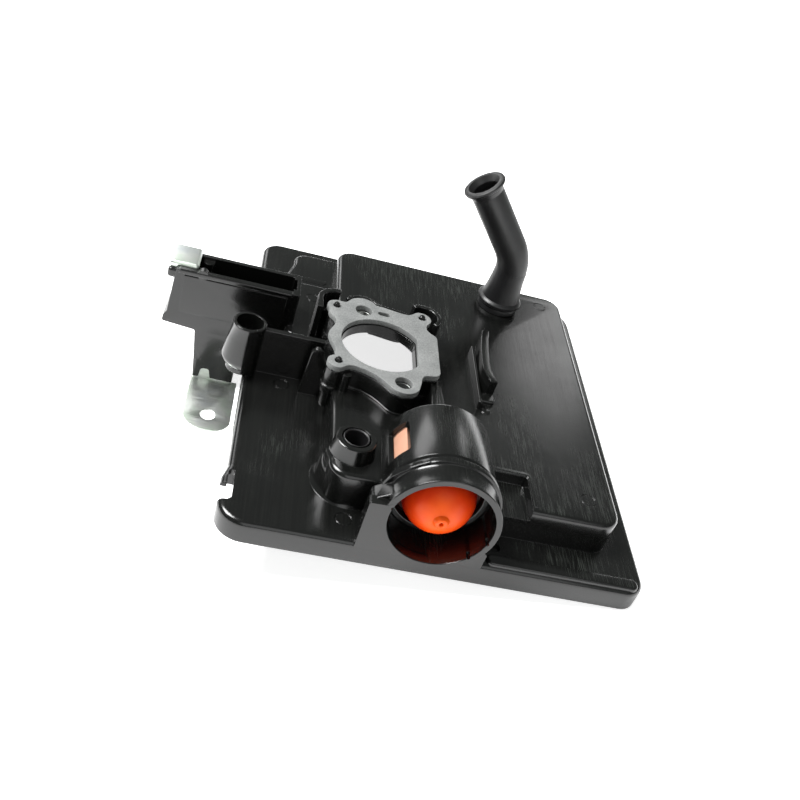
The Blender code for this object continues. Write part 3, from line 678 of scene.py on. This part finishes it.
def moulded_black():
    """Glossy black thermoplastic with fine drawn lines and scuffs that run from front to back."""
    mat, tree, shader = base_material("moulded_black", (0.004, 0.0042, 0.004), 0.2)
    scratches = spread(tree, noise(tree, 60, 8, (34, 1.6, 12), 0.72), 0.47, 0.70, 0, 1)
    lines = spread(tree, noise(tree, 60, 6, (24, 0.35, 24), 0.6), 0.42, 0.66, 0, 0.16)
    patches = spread(tree, noise(tree, 17, 3), 0.50, 0.64, 0, 1)
    facing = node(tree, "ShaderNodeSeparateXYZ")
    tree.links.new(node(tree, "ShaderNodeTexCoord").outputs["Normal"], facing.inputs[0])
    flat = spread(tree, facing.outputs["Z"], 0.80, 0.97, 0.05, 1)
    scuffs = product(tree, add(tree, product(tree, scratches, patches), lines), flat)
    mottled = spread(tree, noise(tree, 45, 5), 0.3, 0.7, -0.02, 0.05)
    rough = add(tree, spread(tree, scuffs, 0, 1, 0.17, 0.46), mottled)
    tree.links.new(rough, shader.inputs["Roughness"])
    tree.links.new(colours(tree, scuffs, [(0.0, (0.0036, 0.0038, 0.0036)), (0.2, (0.0056, 0.006, 0.0054)),
                                          (1.0, (0.027, 0.031, 0.027))]), shader.inputs["Base Color"])
    grain = add(tree, spread(tree, noise(tree, 900, 2), 0, 1, 0, 0.4), spread(tree, scratches, 0, 1, 0, 0.5))
    bump(tree, shader, grain, 0.07, 0.00012, 0.0004)
    return mat


def black_rubber():
    mat, tree, shader = base_material("black_rubber", (0.006, 0.0062, 0.0066), 0.42)
    tree.links.new(spread(tree, noise(tree, 60, 5), 0.3, 0.7, 0.36, 0.52), shader.inputs["Roughness"])
    tree.links.new(colours(tree, noise(tree, 35, 4), [(0.35, (0.005, 0.005, 0.0056)),
                                                      (0.75, (0.010, 0.010, 0.010))]),
                   shader.inputs["Base Color"])
    bump(tree, shader, noise(tree, 700, 3), 0.12, 0.00012)
    return mat


def red_rubber():
    """Translucent red rubber with painted light and shade: light orange painted at the front, darker red
    painted as shade towards the rim.
    """
    mat, tree, shader = base_material("red_rubber", (0.50, 0.030, 0.005), 0.4)
    shader.inputs["Specular IOR Level"].default_value = 0.2
    shader.inputs["Subsurface Weight"].default_value = 0.1
    shader.inputs["Subsurface Radius"].default_value = (0.004, 0.001, 0.0005)
    place, split = node(tree, "ShaderNodeTexCoord"), node(tree, "ShaderNodeSeparateXYZ")
    tree.links.new(place.outputs["Object"], split.inputs[0])
    front = at(0, 0, 0).y
    depth = add(tree, spread(tree, split.outputs["Y"], front + 0.002, front + 0.013, 0, 1),
                spread(tree, noise(tree, 110, 4), 0.3, 0.7, -0.12, 0.12))
    # painted light and shade: bright orange at the front, shaded darker red towards the rim
    tree.links.new(colours(tree, depth, [(0.0, (0.80, 0.088, 0.001)), (0.4, (0.66, 0.038, 0.001)),
                                         (1.0, (0.40, 0.006, 0.001))]), shader.inputs["Base Color"])
    tree.links.new(spread(tree, noise(tree, 90, 4), 0.3, 0.7, 0.36, 0.48), shader.inputs["Roughness"])
    bump(tree, shader, noise(tree, 500, 3), 0.06, 0.0001)
    return mat


def painted_window_light_rubber():
    """The bulb skirt's thin side, with painted light and shade: salmon painted light where light comes
    through the window, dark painted shade inside the barrel.
    """
    mat, tree, shader = base_material("painted_window_light_rubber", (0.55, 0.28, 0.19), 0.45)
    shader.inputs["Subsurface Weight"].default_value = 0.3
    shader.inputs["Subsurface Radius"].default_value = (0.006, 0.003, 0.002)
    place, split = node(tree, "ShaderNodeTexCoord"), node(tree, "ShaderNodeSeparateXYZ")
    tree.links.new(place.outputs["Object"], split.inputs[0])
    outer = at(BARREL_X, 0, 0).x
    window_light_to_shade = add(tree, spread(tree, split.outputs["X"], outer - 0.015, outer - 0.0115, 0, 1),
                spread(tree, noise(tree, 120, 4), 0.3, 0.7, -0.06, 0.06))
    # painted light on the skirt's window side, painted shade inside the barrel
    tree.links.new(colours(tree, window_light_to_shade, [(0.0, (0.46, 0.245, 0.165)), (0.1, (0.40, 0.20, 0.13)),
                                         (0.8, (0.10, 0.008, 0.003)), (1.0, (0.05, 0.004, 0.002))]),
                   shader.inputs["Base Color"])
    tree.links.new(spread(tree, noise(tree, 90, 4), 0.3, 0.7, 0.38, 0.5), shader.inputs["Roughness"])
    return mat


def gasket_fibre():
    """Pressed fibre: matt grey with fine light and dark flecks."""
    mat, tree, shader = base_material("gasket_fibre", (0.17, 0.175, 0.17), 0.86)
    fleck = add(tree, spread(tree, noise(tree, 1500, 4, roughness=0.75), 0.3, 0.7, 0, 0.7),
                spread(tree, noise(tree, 120, 4), 0.3, 0.7, 0, 0.3))
    tree.links.new(colours(tree, fleck, [(0.15, (0.105, 0.11, 0.108)), (0.5, (0.155, 0.16, 0.157)),
                                         (0.85, (0.22, 0.225, 0.22))]), shader.inputs["Base Color"])
    bump(tree, shader, noise(tree, 1300, 4), 0.3, 0.0002)
    return mat


def zinc_plate(name="zinc_plate", shade=1.0):
    """Zinc with a faint green and straw passivation and a rolled grain. A shade below 1 darkens all its
    colours as painted shade.
    """
    mat, tree, shader = base_material(name, (0.68 * shade,) * 3, 0.34, 1.0)
    stops = [(0.35, (0.62, 0.66, 0.67)), (0.5, (0.74, 0.77, 0.73)), (0.68, (0.60, 0.72, 0.59))]
    stops = [(position, tuple(c * shade for c in colour)) for position, colour in stops]
    tree.links.new(colours(tree, noise(tree, 55, 4), stops),
                   shader.inputs["Base Color"])
    grain = noise(tree, 120, 5, (1, 30, 1))
    tree.links.new(spread(tree, grain, 0.3, 0.7, 0.30, 0.46), shader.inputs["Roughness"])
    bump(tree, shader, grain, 0.10, 0.0001, 0.0006)
    return mat


# ---------------------------------------------------------------- assembly

def install(obj, name, body, mat, slot, *nodes):
    """Names a finished piece, shades it and lets it stand for its CAD nodes."""
    obj.name = obj.data.name = name
    obj.data.materials.clear()
    obj.data.materials.append(mat)
    obj.data.shade_smooth()
    obj.data.set_sharp_from_angle(angle=math.radians(SHARP_ANGLE))
    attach(obj, body)
    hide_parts(*nodes)


def build_pieces():
    black, rubber, red, lit_and_shaded = moulded_black(), black_rubber(), red_rubber(), painted_window_light_rubber()
    # the sleeves get a copy darkened to 0.3: painted shade for their place down in the stud holes
    fibre, zinc, shaded_zinc = gasket_fibre(), zinc_plate(), zinc_plate("zinc_painted_shade", 0.3)
    install(make_moulding(), "moulded_base", "housing", black, "moulded_black", "base_tray",
            "throat_platform", "primer_barrel", "guide_post", "bushing_boss", "control_arm")
    rows = [
        (make_gasket(), "fibre_gasket", fibre, "gasket_fibre", "carburettor_gasket"),
        # the skirt's material paints window light on its outer side and shade inside the barrel
        (make_skirt(), "primer_bulb_skirt", lit_and_shaded, "red_rubber", "bulb_skirt"),
        (make_ring(), "primer_bulb_ring", black, "moulded_black", "bulb_ring"),
        (make_bushing(), "rubber_bushing", rubber, "black_rubber", "boss_bushing"),
        (make_sleeve(BOLTS[0]), "rear_sleeve", shaded_zinc, "zinc_plate", "stud_sleeve_rear"),
        (make_sleeve(BOLTS[1]), "front_sleeve", shaded_zinc, "zinc_plate", "stud_sleeve_front"),
        (make_tube(), "breather_elbow", rubber, "black_rubber", "breather_tube"),
        (make_grommet(), "elbow_grommet", rubber, "black_rubber", "breather_grommet"),
        (make_clip(), "zinc_clip", zinc, "zinc_plate", "upper_clip"),
        (make_bracket(), "zinc_bracket", zinc, "zinc_plate", "lower_bracket"),
        (make_screw(*CLIP_SCREW, ARM["back"] + 1.5), "clip_pan_screw", zinc, "zinc_plate", "clip_screw"),
        (make_screw(*BRACKET_SCREW, ARM["front"] + 3.7), "bracket_pan_screw", zinc, "zinc_plate",
         "bracket_screw")]
    for obj, name, mat, slot, cad_node in rows:
        install(obj, name, "housing", mat, slot, cad_node)
    install(make_dome(), "primer_bulb_dome", "bulb", red, "red_rubber", "bulb_dome")


# ---------------------------------------------------------------- floor, light and camera

def add_floor():
    """A white table that touches the rim's right edge and the bracket's foot."""
    mesh = bpy.data.meshes.new("floor")
    corners = [(x * TABLE_HALF, y * TABLE_HALF, 0) for x, y in ((-1, -1), (1, -1), (1, 1), (-1, 1))]
    mesh.from_pydata(corners, [], [(0, 1, 2, 3)])
    floor = bpy.data.objects.new("floor", mesh)
    bpy.context.scene.collection.objects.link(floor)
    low_left, low_right = at(-8, 98, BRACKET_FOOT - 0.1), at(WIDTH, 98, -0.3)
    slope = math.atan2(low_right.z - low_left.z, low_right.x - low_left.x)
    floor.location = low_right
    floor.rotation_euler = (0, -slope, 0)
    mat, tree, shader = base_material("floor_white", (0.90, 0.90, 0.90), 0.8)
    # a light table: it stays white under the tray and inside the throat
    shader.inputs["Emission Color"].default_value = (1, 1, 1, 1)
    shader.inputs["Emission Strength"].default_value = TABLE_GLOW
    mesh.materials.append(mat)


def add_light(name, place, target, size, watts, size_y=None):
    data = bpy.data.lights.new(name, "AREA")
    data.shape = "RECTANGLE"
    data.size, data.size_y = size, size_y or size
    data.energy = watts
    obj = bpy.data.objects.new(name, data)
    bpy.context.scene.collection.objects.link(obj)
    obj.location = place
    obj.rotation_euler = (Vector(target) - Vector(place)).to_track_quat("-Z", "Y").to_euler()


def add_lights():
    world = bpy.data.worlds.new("world")
    bpy.context.scene.world = world
    world.use_nodes = True
    background = world.node_tree.nodes["Background"]
    background.inputs["Color"].default_value = (0.95, 1.0, 0.97, 1)
    background.inputs["Strength"].default_value = 0.22
    middle = (0, 0, 0.03)
    add_light("key", (-0.85, 0.10, 1.25), middle, 0.75, 52)
    add_light("front_fill", (0.2, -1.2, 0.8), middle, 1.0, 4.5)
    # two panels at the back give the barrel and the edges their long reflections
    add_light("back_left", (-0.60, 1.32, 0.72), middle, 0.75, 4.2, 0.5)
    add_light("back_right", (0.66, 1.28, 0.70), middle, 0.25, 0.8, 0.4)


def add_camera():
    """The viewing angle of the reference: left of the middle, 36 degrees down, rolled by 20 degrees."""
    target, distance = at(73.1, 101.5, 0), 0.4372
    azimuth, elevation, roll = math.radians(-13.78), math.radians(36.07), math.radians(20.14)
    back = Vector((math.sin(azimuth) * math.cos(elevation), -math.cos(azimuth) * math.cos(elevation),
                   math.sin(elevation)))
    data = bpy.data.cameras.new("camera")
    data.lens = 44.0
    data.clip_start = 0.01
    camera = bpy.data.objects.new("camera", data)
    bpy.context.scene.collection.objects.link(camera)
    right = (-back).cross(Vector((0, 0, 1))).normalized()
    up = right.cross(-back)
    axes = Matrix((right, up, back)).transposed()
    camera.matrix_world = Matrix.Translation(target + back * distance) @ (
        axes @ Matrix.Rotation(roll, 3, "Z")).to_4x4()
    bpy.context.scene.camera = camera


add_camera()
build_pieces()
add_floor()
add_lights()
bpy.context.scene.view_settings.view_transform = "Standard"
